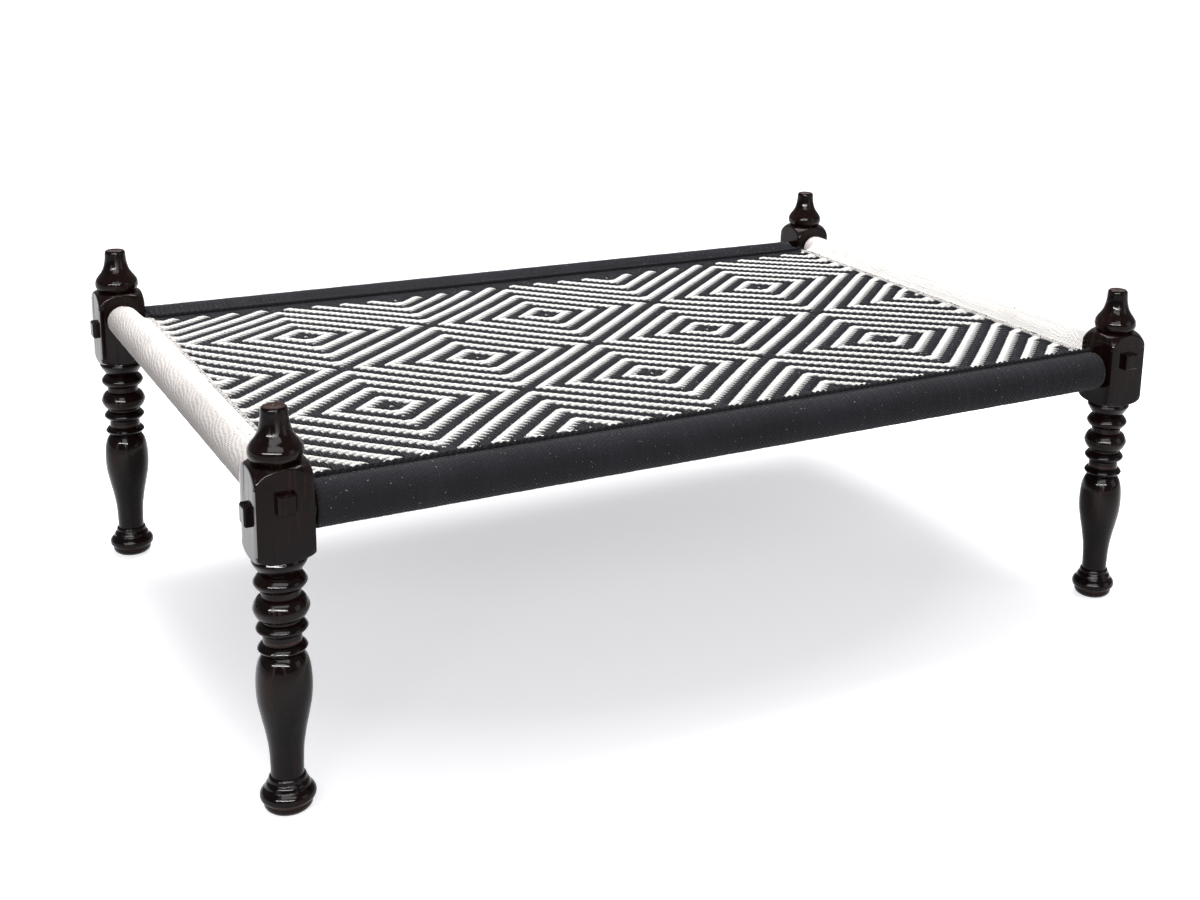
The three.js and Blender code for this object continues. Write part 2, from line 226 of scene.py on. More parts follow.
def cord_stuff(name, dark, mid, light, sheen, lay, speck=None, rarer=0.0):
    """Twisted cotton: the lay runs slantwise round the cord, by its own mesh coordinates, with painted shade
    in its furrows.

    A larger rarer makes the specks fewer.
    """
    m, nt, bsdf = material(name)
    place = node(nt, "ShaderNodeTexCoord").outputs["Object"]
    uv = node(nt, "ShaderNodeUVMap")
    scaled = node(nt, "ShaderNodeMapping")
    scaled.inputs["Scale"].default_value = (lay, 1.0, 1.0)
    nt.links.new(uv.outputs[0], scaled.inputs[0])
    wave = node(nt, "ShaderNodeTexWave", Scale=1.0, Distortion=0.6, Detail=1.0)
    wave.bands_direction = "DIAGONAL"
    nt.links.new(scaled.outputs[0], wave.inputs["Vector"])
    twist = wave.outputs["Fac"]
    fuzz = noise(nt, place, FUZZ_SCALE, detail=3, rough=0.7)
    stain = noise(nt, place, STAIN_SCALE, detail=4, rough=0.6)
    tone = math_node(nt, "ADD", math_node(nt, "MULTIPLY", fuzz, FUZZ_SHARE),
                     math_node(nt, "MULTIPLY", stain, STAIN_SHARE))
    colour = ramp(nt, tone, ((DARK_STOP, dark), (MID_STOP, mid), (LIGHT_STOP, light)))
    # Painted shade: the furrows of the lay are darkened towards the dark colour
    colour = mix(nt, math_node(nt, "MULTIPLY", twist, FURROW_SHADE_SHARE), colour, dark)
    if speck:
        dots = noise(nt, place, SPECK_SCALE, detail=1, rough=0.4)
        shown = ramp(nt, dots, ((SPECK_START + rarer, grey(0)), (SPECK_FULL + rarer, grey(1))))
        colour = mix(nt, shown, colour, speck)
    nt.links.new(colour, bsdf.inputs["Base Color"])
    bsdf.inputs["Roughness"].default_value = 0.9
    bsdf.inputs["Sheen Weight"].default_value = sheen
    bsdf.inputs["Sheen Roughness"].default_value = 0.45
    bsdf.inputs["Specular IOR Level"].default_value = 0.10
    height = math_node(nt, "ADD", twist, math_node(nt, "MULTIPLY", fuzz, FUZZ_HEIGHT))
    bump(nt, bsdf, height, strength=0.7, distance=0.0006)
    return m


WOOD = lacquer()
BLACK = cord_stuff("black_cord", (0.0075, 0.0072, 0.0105), (0.0145, 0.0140, 0.0190), (0.030, 0.029, 0.038),
                   sheen=0.12, lay=120, speck=(0.33, 0.30, 0.27))
WOUND_BLACK = cord_stuff("wound_black_cord", (0.0075, 0.0070, 0.0098), (0.0130, 0.0122, 0.0165),
                         (0.029, 0.027, 0.035), sheen=0.12, lay=120, speck=(0.36, 0.30, 0.24), rarer=0.024)
WHITE = cord_stuff("white_cord", (0.77, 0.745, 0.71), (0.88, 0.868, 0.845), (0.93, 0.925, 0.91),
                   sheen=0.05, lay=120, speck=(0.10, 0.08, 0.07))
WOUND_WHITE = cord_stuff("wound_white_cord", (0.49, 0.445, 0.415), (0.76, 0.715, 0.69), (0.89, 0.85, 0.835),
                         sheen=0.05, lay=120, speck=(0.12, 0.09, 0.07), rarer=0.012)
# The twined cord's many dark specks are painted shade in the gaps between its knots
TWINED_WHITE = cord_stuff("twined_white_cord", (0.60, 0.555, 0.525), (0.82, 0.785, 0.76),
                          (0.94, 0.915, 0.90), sheen=0.05, lay=120, speck=(0.05, 0.045, 0.05), rarer=-0.14)
EDGE_BLACK = cord_stuff("edge_black", (0.0055, 0.0052, 0.0075), (0.0110, 0.0105, 0.0145),
                        (0.022, 0.021, 0.028), sheen=0.10, lay=160)


def make_mesh(name, points, faces, mat, smooth=True, uvs=None, scale=MM):
    """points times scale are metres, faces is (n, 4), uvs has one pair for each corner of each face."""
    mesh = bpy.data.meshes.new(name)
    points = np.asarray(points, np.float32) * scale
    faces = np.asarray(faces, np.int32)
    sides = faces.shape[1]
    mesh.vertices.add(len(points))
    mesh.vertices.foreach_set("co", points.ravel())
    mesh.loops.add(faces.size)
    mesh.loops.foreach_set("vertex_index", faces.ravel())
    mesh.polygons.add(len(faces))
    mesh.polygons.foreach_set("loop_start", np.arange(0, faces.size, sides, dtype=np.int32))
    mesh.polygons.foreach_set("loop_total", np.full(len(faces), sides, np.int32))
    mesh.polygons.foreach_set("use_smooth", np.full(len(faces), smooth))
    if uvs is not None:
        layer = mesh.uv_layers.new(name="UVMap")
        layer.data.foreach_set("uv", np.asarray(uvs, np.float32).ravel())
    mesh.update(calc_edges=True)
    mesh.validate()
    mesh.materials.append(mat)
    return mesh


def add_object(name, data):
    o = bpy.data.objects.new(name, data)
    scene.collection.objects.link(o)
    return o


def make_object(name, *shape, **options):
    return add_object(name, make_mesh(name, *shape, **options))


def unit(vectors):
    return vectors / np.linalg.norm(vectors, axis=1)[:, None]


def gone_along(points):
    """How far along the line through the points each of them lies."""
    return np.concatenate([[0], np.cumsum(np.linalg.norm(np.diff(points, axis=0), axis=1))])


class Tubes:
    """Many tubes gathered in one mesh."""

    def __init__(self, sides):
        self.sides = sides
        self.points = []
        self.faces = []
        self.uvs = []
        self.count = 0

    def add(self, path, radius, up, wide=1.0):
        """One more tube along path, an (n, 3) array, with radius one number or n of them.

        up is one vector or (n, 3), and wide is the section's width over its height. The first end has a
        cap, which lacks a triangle where sides is odd, and the last end is open.
        """
        path = np.asarray(path, float)
        n, k = len(path), self.sides
        radius = np.broadcast_to(np.asarray(radius, float), (n,))
        along = unit(np.gradient(path, axis=0))
        side = unit(np.cross(along, np.broadcast_to(up, (n, 3))))
        top = np.cross(side, along)
        angle = np.arange(k) * 2 * math.pi / k + math.pi / 2
        sideways = wide * np.cos(angle)[None, :, None] * side[:, None]
        upward = np.sin(angle)[None, :, None] * top[:, None]
        rings = path[:, None] + radius[:, None, None] * (sideways + upward)
        step = np.arange(n - 1)[:, None] * k
        corner = np.arange(k)[None]
        near, far = self.count + step + corner, self.count + step + (corner + 1) % k
        walls = np.stack([near, near + k, far + k, far], -1).reshape(-1, 4)
        length = gone_along(path) * MM
        u0 = np.broadcast_to(length[:-1, None], (n - 1, k))
        u1 = np.broadcast_to(length[1:, None], (n - 1, k))
        v0 = np.broadcast_to(corner / k, (n - 1, k))
        v1 = v0 + 1 / k
        wall_uvs = np.stack([u0, v0, u1, v0, u1, v1, u0, v1], -1).reshape(-1, 4, 2)
        first = np.arange(0, k - 1, 2)
        centre = np.full(len(first), n * k)
        cap = self.count + np.stack([first, (first + 1) % k, (first + 2) % k, centre], -1)
        self.points += [rings.reshape(-1, 3), path[:1]]
        self.faces += [walls, cap]
        self.uvs += [wall_uvs, np.zeros((len(cap), 4, 2))]
        self.count += n * k + 1
        return self

    def build(self, name, mat):
        return make_object(name, np.concatenate(self.points), np.concatenate(self.faces), mat,
                           uvs=np.concatenate(self.uvs))


def web_top(x, y):
    """Height of the sheet's top, as in the solids."""
    from_short, from_long = HALF_LENGTH - np.abs(x), HALF_WIDTH - np.abs(y)
    hang = np.cos(x / (2 * HALF_LENGTH) * math.pi) * np.cos(y / (2 * HALF_WIDTH) * math.pi)
    near_short = np.maximum(0, 1 - from_short / REACH_SHORT) ** 2
    near_long = np.maximum(0, 1 - from_long / REACH_LONG) ** 2
    over_short = (SHORT_Z + SHORT_R - WEB_EDGE_Z) * near_short * np.minimum(1, from_long / REACH_LONG)
    return WEB_EDGE_Z - WEB_SAG * hang + over_short + EDGE_DROP * near_long


def sheet_point(x, y, below):
    """Points of the sheet that lie the distance below under its top."""
    in_x, in_y = np.clip(x, -HALF_LENGTH, HALF_LENGTH), np.clip(y, -HALF_WIDTH, HALF_WIDTH)
    return np.stack([x, y, web_top(in_x, in_y) - below], -1)


# The pattern is counted in units of two cords: a diamond's half is 26 and a stripe 3 units
HALF = 26
STRIPE = 3
FIRST_ROW, LAST_ROW = -3, 104
FIRST_COL, LAST_COL = 2, 156
# Where every 26th column lies along the bed, and where it crosses every 26th row
COL_X = np.array([-561.0, -382.0, -203.0, -25.0, 156.0, 355.0, 550.0])
ROW_Y = np.array([
    [-345.0, -343.0, -341.0, -344.0, -347.0, -351.0, -352.0],
    [-152.0, -156.0, -161.0, -165.0, -170.0, -173.0, -171.0],
    [28.0, 20.0, 4.0, 1.0, -2.0, 3.0, 7.0],
    [207.0, 189.0, 178.0, 168.0, 164.0, 172.0, 179.0],
    [342.0, 334.0, 325.0, 330.0, 324.0, 332.0, 338.0],
])


def smooth_table(values, place):
    """Catmull-Rom through evenly spaced values (along the first axis), straight beyond the ends."""
    values = np.asarray(values, float)
    place = np.asarray(place, float)
    n = len(values)
    padded = np.concatenate([[2 * values[0] - values[1]], values, [2 * values[-1] - values[-2]]])
    k = np.clip(np.floor(place).astype(int), 0, n - 2)
    t = np.clip(place, -1, n) - k
    t = t.reshape(t.shape + (1,) * (values.ndim - 1))
    a, b, c, d = (padded[k + s] for s in range(4))
    square, cube = (2 * a - 5 * b + 4 * c - d) * t ** 2, (3 * b - a - 3 * c + d) * t ** 3
    inner = 0.5 * (2 * b + (c - a) * t + square + cube)
    low, high = b + (c - b) * t, c + (c - b) * (t - 1)
    return np.where(t < 0, low, np.where(t > 1, high, inner))


def col_x(u):
    return smooth_table(COL_X, np.asarray(u, float) / HALF)


def row_y(u, v):
    """Place across the sheet of row v where column u crosses it."""
    by_row = smooth_table(ROW_Y, np.atleast_1d(np.asarray(v, float)) / HALF)
    return np.stack([smooth_table(r, np.asarray(u, float) / HALF) for r in by_row])


def white_on_top(u, v):
    """True where the white pair of row v passes over the black pair of column u."""
    u, v = np.mod(u, 2 * HALF), np.mod(v, 2 * HALF)
    a, b = np.minimum(u, 2 * HALF - u), np.minimum(v, 2 * HALF - v)
    d = np.minimum(a + b, 2 * HALF - a - b)
    white = (d == 0) | (((d - 1) // STRIPE) % 2 == 1)
    corner = ((u == 0) & (v > 0) & (v <= HALF)) | ((u == HALF) & (v > HALF))
    spike = (d % (2 * STRIPE) == 0) & (d > 0) & corner
    return white & ~spike


cols = np.arange(FIRST_COL, LAST_COL + 1)
rows = np.arange(FIRST_ROW, LAST_ROW + 1)
UP = white_on_top(cols[None, :], rows[:, None])
SEED = 7
rng = np.random.default_rng(SEED)

# The cords: depth of the weave's middle, how far they rise from it, and PAIR, half a pair's spread in units
MID_DEPTH = 3.5
WHITE_LIFT, BLACK_LIFT = 1.85, 1.60
WHITE_DIP, BLACK_DIP = -0.55, 0.0
WHITE_RADIUS, BLACK_RADIUS = 1.48, 1.60
OUTER_COLUMN_SHARE = 0.8
PAIR = 0.22
JITTER, ROW_JITTER = 0.1, 0.12
SETS, CORD_SIDES = 4, 5
# Shares at a crossing with none, one or both of its neighbours on the other face, and at a turn
LIFT_SHARES = (1.5, 1.05, 0.95)
GIRTH_SHARES = (1.12, 1.05, 1.0)
SPREAD_SHARES = (1.12, 1.02, 0.90)
TURN_GIRTH_SHARE, TURN_SPREAD_SHARE = 0.74, 0.42
# A drawn pair: lift, girth and spread at a float's last crossing and at the one before it
LAST_SHARES = (0.7, 0.58, 0.06)
NEXT_TO_LAST_SHARES = (1.0, 0.95, 0.84)
# Its turns down and up: how far they shift along, in columns, and their girth and spread
DOWN_SHIFT, DOWN_GIRTH_SHARE, DOWN_SPREAD_SHARE = 0.40, 0.38, 0.04
UP_SHIFT, UP_GIRTH_SHARE, UP_SPREAD_SHARE = -0.26, 1.02, 0.95


def floats(over, dip, drawn=False):
    """Stations along a cord, and there its lift, its thickness and the spread of its pair.

    Each float is a lozenge. A drawn pair comes to a point at the far end of each float, as the pull of
    weaving leaves it.
    """
    count = len(over)
    before, after = np.roll(over, 1), np.roll(over, -1)
    before[0], after[-1] = over[0], over[-1]
    edge = (before != over).astype(int) + (after != over).astype(int)
    sign = np.where(over, 1.0, -1.0)
    turns = np.flatnonzero(over[1:] != over[:-1]) + 0.5
    at = np.concatenate([np.arange(count, dtype=float), turns])
    lift = np.concatenate([sign * np.choose(edge, LIFT_SHARES), np.full(len(turns), dip)])
    girth = np.concatenate([np.choose(edge, GIRTH_SHARES), np.full(len(turns), TURN_GIRTH_SHARE)])
    apart = np.concatenate([np.choose(edge, SPREAD_SHARES), np.full(len(turns), TURN_SPREAD_SHARE)])
    if drawn:
        last = over & ~after
        next_to_last = over & np.roll(last, -1) & after
        for these, (low, thin, close) in ((last, LAST_SHARES), (next_to_last, NEXT_TO_LAST_SHARES)):
            lift[:count][these] *= low
            girth[:count][these] *= thin
            apart[:count][these] *= close
        down = over[turns.astype(int)]
        at[count:] += np.where(down, DOWN_SHIFT, UP_SHIFT)
        girth[count:] = np.where(down, DOWN_GIRTH_SHARE, UP_GIRTH_SHARE)
        apart[count:] = np.where(down, DOWN_SPREAD_SHARE, UP_SPREAD_SHARE)
    order = np.argsort(at)
    return at[order], lift[order], girth[order], apart[order]


# A cord goes over a rail's crest by these angles, a little out from the winding and then into it
WHITE_CREST_ANGLES, WHITE_CREST_OUT = (62, 78, 94, 108), (1.1, 0.9, 0.2, -1.2)
BLACK_CREST_ANGLES, BLACK_CREST_OUT = (66, 78, 90, 102), (0.9, 0.7, 0.2, -1.2)
# White: where it leaves the sheet, along the bed and in columns past the last. Black: across the bed
WHITE_RUN_X, WHITE_RUN_COLUMNS = (557.0, 562.0, 567.0), (1.0, 1.7, 2.4)
BLACK_RUN_Y, BLACK_RUN_STEP = 378, 11


def crest(angles, out, rail_radius, cord_radius):
    """How far in from the rail's axis and how far above it a cord lies on its way over the crest."""
    angle = np.radians(angles)
    reach = rail_radius - cord_radius + np.array(out)
    return np.cos(angle) * reach, np.sin(angle) * reach


def white_end(end, row):
    """From the sheet on to the short rail's crest, then into the winding."""
    edge_col = FIRST_COL if end < 0 else LAST_COL
    run_y = row_y(edge_col + end * np.array(WHITE_RUN_COLUMNS), row)[0]
    run = sheet_point(end * np.array(WHITE_RUN_X), run_y, WHITE_RADIUS)
    inward, above = crest(WHITE_CREST_ANGLES, WHITE_CREST_OUT, SHORT_R, WHITE_RADIUS)
    arc = np.stack([end * (HALF_LENGTH - inward), np.full(len(inward), run_y[-1]), SHORT_Z + above], -1)
    arc[:1, 2] = np.maximum(arc[:1, 2], web_top(arc[:1, 0], arc[:1, 1]) - WHITE_RADIUS)
    return np.concatenate([run, arc])


def black_end(end, x, last_y):
    """From the last crossing on to the long rail's crest, then into the winding."""
    steps = max(2, int(abs(end * BLACK_RUN_Y - last_y) / BLACK_RUN_STEP))
    run_y = np.linspace(last_y, end * BLACK_RUN_Y, steps + 1)[1:]
    run = sheet_point(np.full(steps, x), run_y, BLACK_RADIUS)
    inward, above = crest(BLACK_CREST_ANGLES, BLACK_CREST_OUT, LONG_R, BLACK_RADIUS)
    arc = np.stack([np.full(len(inward), x), end * (HALF_WIDTH - inward), LONG_Z + above], -1)
    arc[:2, 2] = np.maximum(arc[:2, 2], web_top(arc[:2, 0], arc[:2, 1]) - BLACK_RADIUS)
    return np.concatenate([run, arc])


def add_cord(tubes, low_end, middle, high_end, radius, girth, slim=1.0):
    """One cord with its two ends, which keep the radius that girth changes in the middle."""
    path = np.concatenate([low_end[::-1], middle, high_end])
    thick = radius * np.concatenate([np.ones(len(low_end)), girth, np.ones(len(high_end))]) * slim
    tubes.add(path, thick, (0, 0, 1))


def lay_white_cords():
    """The white cords run along the sheet. Also returns where they meet the left rail."""
    sets = [Tubes(CORD_SIDES) for k in range(SETS)]
    rail_places = []
    for r, row in enumerate(rows):
        for share in (-PAIR, PAIR):
            at, lift, girth, apart = floats(UP[r], WHITE_DIP, drawn=True)
            u = FIRST_COL + at
            pair_y, cord_y = row_y(u, row)[0], row_y(u, row + share)[0]
            y = (pair_y + (cord_y - pair_y) * apart + rng.normal(0, ROW_JITTER)
                 + rng.normal(0, JITTER, len(u)))
            x = col_x(u) + rng.normal(0, JITTER, len(u))
            middle = sheet_point(x, y, MID_DEPTH - WHITE_LIFT * lift)
            low_end, high_end = white_end(-1, row + share), white_end(1, row + share)
            rail_places.append(low_end[-1, 1])
            add_cord(sets[r * SETS // len(rows)], low_end, middle, high_end, WHITE_RADIUS, girth)
    return sets, rail_places


def lay_black_cords():
    """The black cords run across the sheet. Also returns where they meet the long rails."""
    sets = [Tubes(CORD_SIDES) for k in range(SETS)]
    rail_places = []
    for c, col in enumerate(cols):
        slim = OUTER_COLUMN_SHARE if col in (FIRST_COL, LAST_COL) else 1.0
        for share in (-PAIR, PAIR):
            pair_x = float(col_x(np.array([col]))[0])
            x = float(col_x(np.array([col + share]))[0]) + rng.normal(0, JITTER)
            rail_places.append(x)
            at, lift, girth, apart = floats(~UP[:, c], BLACK_DIP)
            y = row_y(np.array([col + share]), FIRST_ROW + at)[:, 0] + rng.normal(0, JITTER, len(at))
            middle = sheet_point(pair_x + (x - pair_x) * apart, y, MID_DEPTH - BLACK_LIFT * lift)
            low_end, high_end = black_end(-1, x, y[0]), black_end(1, x, y[-1])
            add_cord(sets[c * SETS // len(cols)], low_end, middle, high_end, BLACK_RADIUS, girth, slim)
    return sets, rail_places


white_sets, short_rail_places = lay_white_cords()
black_sets, long_rail_places = lay_black_cords()
white_cords = [t.build(f"white_cords_{k + 1}", WHITE) for k, t in enumerate(white_sets)]
black_cords = [t.build(f"black_cords_{k + 1}", BLACK) for k, t in enumerate(black_sets)]

# The windings: room left at a rail's ends, turns' pitch beyond the sheet, cord and its width by height
LONG_GAP, LONG_PITCH = 4.6, 3.45
SHORT_GAP, SHORT_PITCH = 1.8, 3.35
LONG_CORD_R, LONG_CORD_WIDE = 2.2, 2.3
SHORT_CORD_R, SHORT_CORD_WIDE = 2.1, 1.5
# The long winding's middle lies this much lower than its rail's, and its radius is as much larger
LONG_SLACK = 0.7
TURN_SIDES, TURN_STEPS = 8, 20
# Unevenness of a winding's radius: depth, angle for each turn in radians, and start
WOBBLES = ((0.08, 1.7, 0), (0.1, 0.37, 1))


def fill_out(places, low, high, pitch):
    """The cords' places on a rail, with turns added out to both ends."""
    places = sorted(places)
    left = np.arange(places[0] - pitch, low, -pitch)[::-1]
    right = np.arange(places[-1] + pitch, high, pitch)
    return np.concatenate([left, places, right])


def winding(name, places, axis, across, height, radius, cord_radius, mat, wide):
    """One cord wound round a rail, a turn at each of the places."""
    t = np.linspace(0, len(places) - 1, (len(places) - 1) * TURN_STEPS + 1)
    along = np.interp(t, np.arange(len(places)), places)
    angle = t * 2 * math.pi
    r = radius - cord_radius + sum(depth * np.sin(t * rate + start) for depth, rate, start in WOBBLES)
    out = np.stack([np.sin(angle), np.cos(angle)], -1)
    if axis == "x":
        path = np.stack([along, across + out[:, 0] * r, height + out[:, 1] * r], -1)
        up = np.stack([np.zeros_like(t), out[:, 0], out[:, 1]], -1)
    else:
        path = np.stack([across + out[:, 0] * r, along, height + out[:, 1] * r], -1)
        up = np.stack([out[:, 0], np.zeros_like(t), out[:, 1]], -1)
    return Tubes(TURN_SIDES).add(path, cord_radius, up, wide).build(name, mat)


wraps = {}
long_end = HALF_LENGTH - HALF_BLANK - LONG_GAP
short_end = HALF_WIDTH - HALF_BLANK - SHORT_GAP
long_places = fill_out(long_rail_places, -long_end, long_end, LONG_PITCH)
short_places = fill_out(short_rail_places, -short_end, short_end, SHORT_PITCH)
short_places = short_places[np.abs(short_places) < short_end]
for side_name, side in SIDES:
    wraps[side_name] = winding(f"winding_{side_name}", long_places, "x", side * HALF_WIDTH,
                               LONG_Z - LONG_SLACK, LONG_R + LONG_SLACK, LONG_CORD_R,
                               WOUND_BLACK, LONG_CORD_WIDE)
for end_name, end in ENDS:
    wraps[end_name] = winding(f"winding_{end_name}", short_places, "y", end * HALF_LENGTH, SHORT_Z,
                              SHORT_R, SHORT_CORD_R, WOUND_WHITE, SHORT_CORD_WIDE)

# The twisted cords along the long rails: reach, stations, how far in from the rail, radius, lay
TWISTED_REACH, TWISTED_STATIONS, TWISTED_SIDES = 557, 160, 7
TWISTED_INSET, TWISTED_RADIUS = {-1: 11, 1: 40}, {-1: 3.7, 1: 2.8}
TWISTED_LAY = 17.0
TWISTED_SWAY, SWAY_LENGTH = 0.5, 83.0
# How far it is pressed into the winding and into the sheet
PRESS_RAIL, PRESS_SHEET = 0.3, 0.6
# The two lines of the twined cords along the short rails
TWINED_X, TWINED_START = (554.0, 558.0), 1.3
TWINED_LOW_Y, TWINED_HIGH_Y, TWINED_STATIONS, TWINED_SIDES = -374, 346, 140, 6
TWINED_DEPTH, TWINED_RADIUS, TWINED_LAY = 0.4, 1.7, 7.2
# A strand's share of its rope's radius, how much thicker it is drawn, and its stations in one lay
STRANDS, STRAND_SHARE, STRAND_SWELL, LAY_STATIONS = 2, 0.5, 1.08, 10


def rope(tubes, centre, radius, lay, start=0.0):
    """Strands twisted about a centre line, given close points."""
    gone = gone_along(centre)
    s = np.linspace(0, gone[-1], int(gone[-1] / lay * LAY_STATIONS) + 2)
    line = np.stack([np.interp(s, gone, centre[:, k]) for k in range(3)], -1)
    along = unit(np.gradient(line, axis=0))
    side = unit(np.cross(along, (0, 0, 1)))
    top = np.cross(side, along)
    thick = radius * STRAND_SHARE
    for k in range(STRANDS):
        a = s / lay * 2 * math.pi + k * 2 * math.pi / STRANDS + start
        out = np.cos(a)[:, None] * side + np.sin(a)[:, None] * top
        tubes.add(line + (radius - thick) * out, thick * STRAND_SWELL, out)


edge_cords = {}
for side_name, side in SIDES:
    inset, radius = TWISTED_INSET[side], TWISTED_RADIUS[side]
    x = np.linspace(-TWISTED_REACH, TWISTED_REACH, TWISTED_STATIONS)
    y = np.full_like(x, side * (HALF_WIDTH - inset)) + TWISTED_SWAY * np.sin(x / SWAY_LENGTH)
    on_rail = LONG_Z + math.sqrt(max(0, (LONG_R + radius - PRESS_RAIL) ** 2 - inset ** 2))
    z = np.maximum(web_top(x, y) + radius - PRESS_SHEET, on_rail)
    tubes = Tubes(TWISTED_SIDES)
    rope(tubes, np.stack([x, y, z], -1), radius, TWISTED_LAY)
    edge_cords[side_name] = tubes.build(f"twisted_cord_{side_name}", EDGE_BLACK)
for end_name, end in ENDS:
    tubes = Tubes(TWINED_SIDES)
    for k, out_x in enumerate(TWINED_X):
        y = np.linspace(TWINED_LOW_Y, TWINED_HIGH_Y, TWINED_STATIONS)
        x = np.full_like(y, end * out_x)
        z = web_top(x, y) - TWINED_DEPTH
        rope(tubes, np.stack([x, y, z], -1), TWINED_RADIUS, TWINED_LAY, start=k * TWINED_START)
    edge_cords[end_name] = tubes.build(f"twined_cord_{end_name}", TWINED_WHITE)

# The legs' outline, as shares of half the blank and of each stretch's height; a 1 marks a sharp point
FOOT_SHARES = (
    (0.0, 0, 1), (0.64, 0, 1), (0.7, 0.015), (0.82, 0.1), (0.85, 0.215, 1), (0.84, 0.235, 1), (0.87, 0.25, 1),
    (0.94, 0.3), (0.965, 0.375), (0.945, 0.45), (0.87, 0.525), (0.79, 0.575, 1), (0.77, 0.6, 1),
    (0.735, 0.67), (0.655, 0.74), (0.645, 0.77), (0.65, 0.8), (0.625, 0.835), (0.565, 0.87, 1))
VASE_SHARES = (
    (0.57, 0.04), (0.605, 0.19), (0.695, 0.33), (0.83, 0.48), (0.93, 0.61), (0.96, 0.74), (0.92, 0.87),
    (0.83, 0.95), (0.7, 1.0, 1))
# Each ring's middle, half height, radius and how full it is, with the groove between the rings
RING_SHARES = ((0.065, 0.055, 0.85, 0.8), (0.268, 0.066, 0.885, 0.8),
               (0.473, 0.12, 0.96, 0.55), (0.735, 0.085, 0.915, 0.7))
GROOVE_SHARE, RING_POWER, RING_STEPS = 0.66, 1.4, 12
COLLAR_SHARES = (
    (0.675, 0.823, 1), (0.72, 0.84), (0.81, 0.88), (0.905, 0.925), (0.94, 0.945), (0.935, 0.962),
    (0.9, 0.975), (0.885, 0.99, 1))
BLOCK_SHARES = (
    (0.93, 0.0, 1), (1.1, 0.008), (1.25, 0.028), (1.37, 0.062), (1.43, 0.1), (1.47, 0.14, 1), (1.47, 0.75, 1),
    (1.44, 0.79), (1.37, 0.86), (1.26, 0.92), (1.12, 0.965), (0.98, 0.992), (0.89, 1.0, 1))
FINIAL_SHARES = (
    (0.8, 0.01, 1), (0.84, 0.035), (0.895, 0.09), (0.93, 0.165), (0.905, 0.26), (0.81, 0.35), (0.68, 0.44),
    (0.575, 0.54), (0.5, 0.68), (0.465, 0.8), (0.45, 0.92), (0.43, 0.97), (0.38, 0.995, 1), (0.1, 1.0, 1),
    (0.05, 0.985), (0.0, 0.965, 1))
# Steps along the outline, on a curve and on a straight, and the fewest on a curve
CURVE_STEP, STRAIGHT_STEP, FEWEST_STEPS = 1.6, 6, 4
# A leg's section: steps in half a face and in half a corner, how square it is, how soft where they meet
FACE_STEPS, CORNER_STEPS = 6, 6
SQUARE_POWER, SOFT = 36, 0.55
# Over this share of half the blank a section has flat faces, and this far under it's plainly round
FLAT_SHARE, ROUND_MARGIN = 1.0005, 3
SHARP_ANGLE, MERGE_DISTANCE = 32, 1e-6


def ring_shares():
    """The four rings' outline, each a rounded hump between two sharp grooves."""
    shares = []
    for centre, half, radius, full in RING_SHARES:
        for k in range(RING_STEPS + 1):
            t = k / (RING_STEPS / 2) - 1
            out = (1 - abs(t) ** RING_POWER) ** full
            sharp = k in (0, RING_STEPS)
            shares.append((GROOVE_SHARE + (radius - GROOVE_SHARE) * out, centre + half * t, sharp))
    return shares


def leg_outline():
    """(radius, z, sharp) from the floor up."""
    points = []
    base = 0
    for height, shares in ((FOOT, FOOT_SHARES), (VASE, VASE_SHARES),
                           (RINGS, (*ring_shares(), *COLLAR_SHARES)),
                           (BLOCK, BLOCK_SHARES), (FINIAL, FINIAL_SHARES)):
        for radius, up, *sharp in shares:
            points.append((radius * HALF_BLANK, base + up * height, any(sharp)))
        base += height
    return points


def fine_outline(points):
    """The outline with smooth curves between the sharp points."""
    fine = [points[0][:2]]
    runs, current = [], [points[0]]
    for p in points[1:]:
        current.append(p)
        if p[2]:
            runs.append(current)
            current = [p]
    for run in runs:
        a = np.array([p[:2] for p in run], float)
        if len(a) == 2:
            n = max(1, int(np.linalg.norm(a[1] - a[0]) / STRAIGHT_STEP))
            fine.extend(tuple(a[0] + (a[1] - a[0]) * k / n) for k in range(1, n + 1))
            continue
        gone = gone_along(a)
        n = max(FEWEST_STEPS, int(gone[-1] / CURVE_STEP))
        s = np.linspace(0, gone[-1], n + 1)[1:]
        # Slopes from the neighbours, carried on straight at the ends, then a cubic between each two
        slope = np.zeros_like(a)
        slope[1:-1] = (a[2:] - a[:-2]) / (gone[2:] - gone[:-2])[:, None]
        slope[0] = (a[1] - a[0]) / (gone[1] - gone[0]) * 1.5 - slope[1] * 0.5
        slope[-1] = (a[-1] - a[-2]) / (gone[-1] - gone[-2]) * 1.5 - slope[-2] * 0.5
        k = np.clip(np.searchsorted(gone, s, side="right") - 1, 0, len(a) - 2)
        w = gone[k + 1] - gone[k]
        t = ((s - gone[k]) / w)[:, None]
        w = w[:, None]
        p = ((2 * t ** 3 - 3 * t ** 2 + 1) * a[k] + (t ** 3 - 2 * t ** 2 + t) * w * slope[k]
             + (-2 * t ** 3 + 3 * t ** 2) * a[k + 1] + (t ** 3 - t ** 2) * w * slope[k + 1])
        fine.extend(map(tuple, p))
    return np.array(fine)


